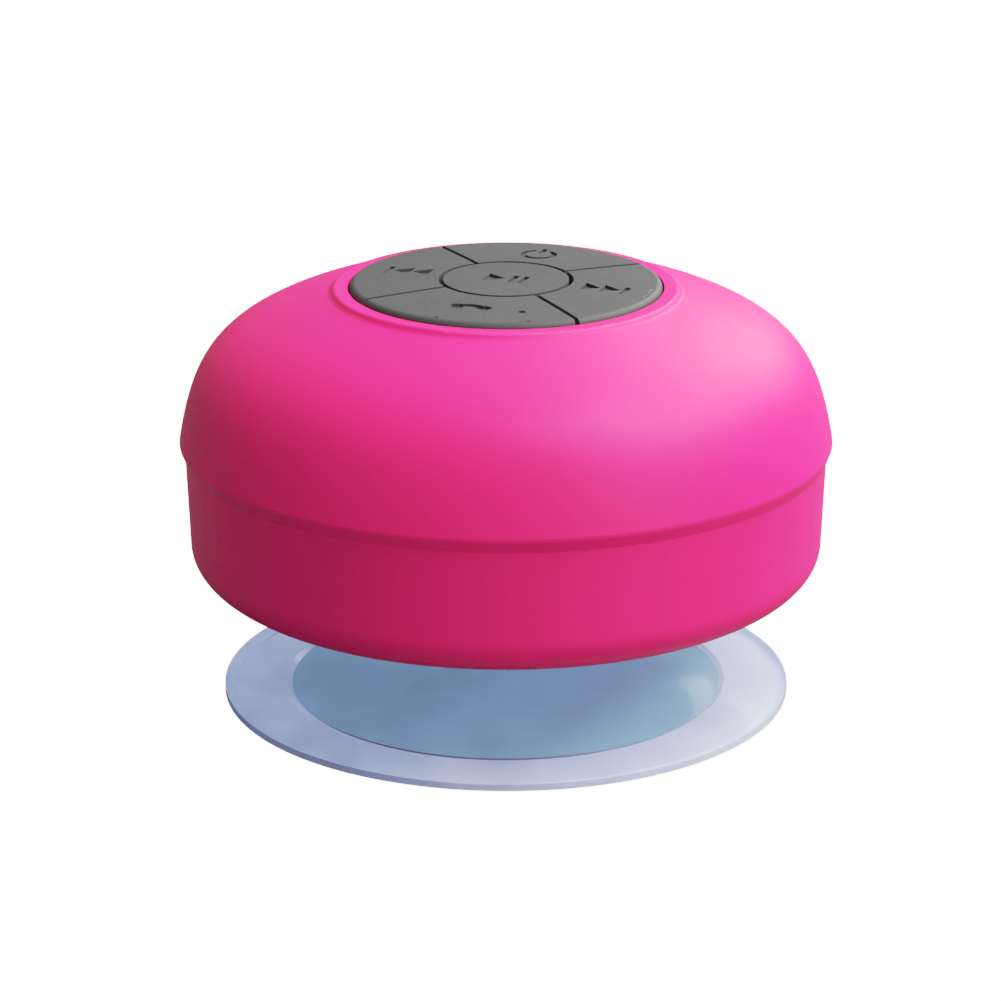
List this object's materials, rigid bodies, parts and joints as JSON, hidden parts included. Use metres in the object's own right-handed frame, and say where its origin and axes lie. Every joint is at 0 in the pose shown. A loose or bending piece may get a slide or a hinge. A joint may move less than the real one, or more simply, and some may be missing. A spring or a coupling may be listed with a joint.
{
  "type": "bluetooth shower speaker",
  "caption": "Round waterproof wireless speaker with a domed case, a flat keypad on top, and a clear suction cup that holds it to a tiled wall.",
  "frame": {"origin": "centre of the suction cup's seating plane, on the part's axis", "axes": "+Z away from the wall the cup sticks to, towards the keypad; the phone key is at -Y, the power key and the charging port at +Y"},
  "size_m": [0.086, 0.086, 0.0562],
  "materials": {
    "shell_pink": "soft-touch, fine grain",
    "cover_pink": "satin",
    "keypad_rubber": "fine matt grain",
    "frame_plastic": "matt",
    "seal_rubber": "matt",
    "screw_steel": "zinc plated",
    "mesh_cloth": "open weave",
    "board_green": "solder mask",
    "board_tan": "phenolic board",
    "chip_black": "moulded epoxy",
    "plunger_plastic": "matt",
    "battery_film": "laminated film",
    "lead_red": "insulation",
    "lead_black": "insulation",
    "socket_steel": "nickel plated",
    "basket_steel": "black lacquer",
    "plate_steel": "zinc plated",
    "magnet_ferrite": "sintered",
    "cone_paper": "pressed pulp",
    "coil_copper": "enamelled copper wire",
    "surround_rubber": "satin",
    "spider_cloth": "resin-dipped",
    "hub_plastic": "moulded",
    "cup_pvc": "clear soft PVC, pale blue"
  },
  "bodies": {
    "cup": {"suction_cup": "cup_pvc"},
    "hub": {"cup_hub": "hub_plastic"},
    "play_button": {"key_play": "keypad_rubber", "plunger_play": "plunger_plastic"},
    "next_button": {"key_next": "keypad_rubber", "plunger_next": "plunger_plastic"},
    "previous_button": {"key_previous": "keypad_rubber", "plunger_previous": "plunger_plastic"},
    "power_button": {"key_power": "keypad_rubber", "plunger_power": "plunger_plastic"},
    "phone_button": {"key_phone": "keypad_rubber", "plunger_phone": "plunger_plastic"},
    "cover": {"port_cover": "cover_pink"},
    "cone": {"driver_cone": "cone_paper", "dust_cap": "cone_paper", "voice_coil": "coil_copper"},
    "case": {"amplifier_chip": "chip_black", "battery": "battery_film", "battery_lead_minus": "lead_black", "battery_lead_plus": "lead_red", "battery_tape": "seal_rubber", "bluetooth_chip": "chip_black", "board_screws": "screw_steel", "capacitors": "socket_steel", "case_screws": "screw_steel", "case_seal": "seal_rubber", "charge_board": "board_green", "charge_lead_minus": "lead_black", "charge_lead_plus": "lead_red", "charge_screws": "screw_steel", "charger_chip": "chip_black", "circuit_board": "board_green", "driver_basket": "basket_steel", "driver_front_plate": "plate_steel", "driver_gasket": "seal_rubber", "driver_magnet": "magnet_ferrite", "driver_screws": "screw_steel", "driver_spider": "spider_cloth", "driver_surround": "surround_rubber", "driver_terminals": "board_tan", "driver_yoke": "plate_steel", "grille_mesh": "mesh_cloth", "keypad_frame": "frame_plastic", "keypad_web": "keypad_rubber", "lower_shell": "shell_pink", "microphone": "socket_steel", "microphone_boot": "seal_rubber", "port_cover_anchor": "cover_pink", "speaker_lead_minus": "lead_black", "speaker_lead_plus": "lead_red", "switch_bodies": "chip_black", "upper_shell": "shell_pink", "usb_socket": "socket_steel", "usb_tongue": "chip_black"}
  },
  "joints": [
    {"name": "cup_press", "type": "slide", "parent": "cup", "child": "hub", "axis": [0, 0, -1], "range_m": [0, 0.004], "stiffness_N_per_m": 4000, "springref_m": -0.0005, "deforming": ["suction_cup"]},
    {"name": "cup_twist", "type": "hinge", "parent": "hub", "child": "case", "pos_m": [0, 0, 0.0158], "axis": [0, 0, 1], "range_deg": [0, 60]},
    {"name": "play_press", "type": "slide", "parent": "case", "child": "play_button", "axis": [0, 0, -1], "range_m": [0, 0.0003], "stiffness_N_per_m": 3000, "springref_m": -0.0002},
    {"name": "next_press", "type": "slide", "parent": "case", "child": "next_button", "axis": [0, 0, -1], "range_m": [0, 0.0003], "stiffness_N_per_m": 3000, "springref_m": -0.0002},
    {"name": "previous_press", "type": "slide", "parent": "case", "child": "previous_button", "axis": [0, 0, -1], "range_m": [0, 0.0003], "stiffness_N_per_m": 3000, "springref_m": -0.0002},
    {"name": "power_press", "type": "slide", "parent": "case", "child": "power_button", "axis": [0, 0, -1], "range_m": [0, 0.0003], "stiffness_N_per_m": 3000, "springref_m": -0.0002},
    {"name": "phone_press", "type": "slide", "parent": "case", "child": "phone_button", "axis": [0, 0, -1], "range_m": [0, 0.0003], "stiffness_N_per_m": 3000, "springref_m": -0.0002},
    {"name": "port_cover_open", "type": "hinge", "parent": "case", "child": "cover", "pos_m": [0.0078, 0.04096, 0.02726], "axis": [0, 0, -1], "range_deg": [0, 100]},
    {"name": "cone_travel", "type": "slide", "parent": "case", "child": "cone", "axis": [0, 0, -1], "range_m": [-0.001, 0.001], "stiffness_N_per_m": 500, "deforming": ["driver_surround", "driver_spider"]}
  ]
}
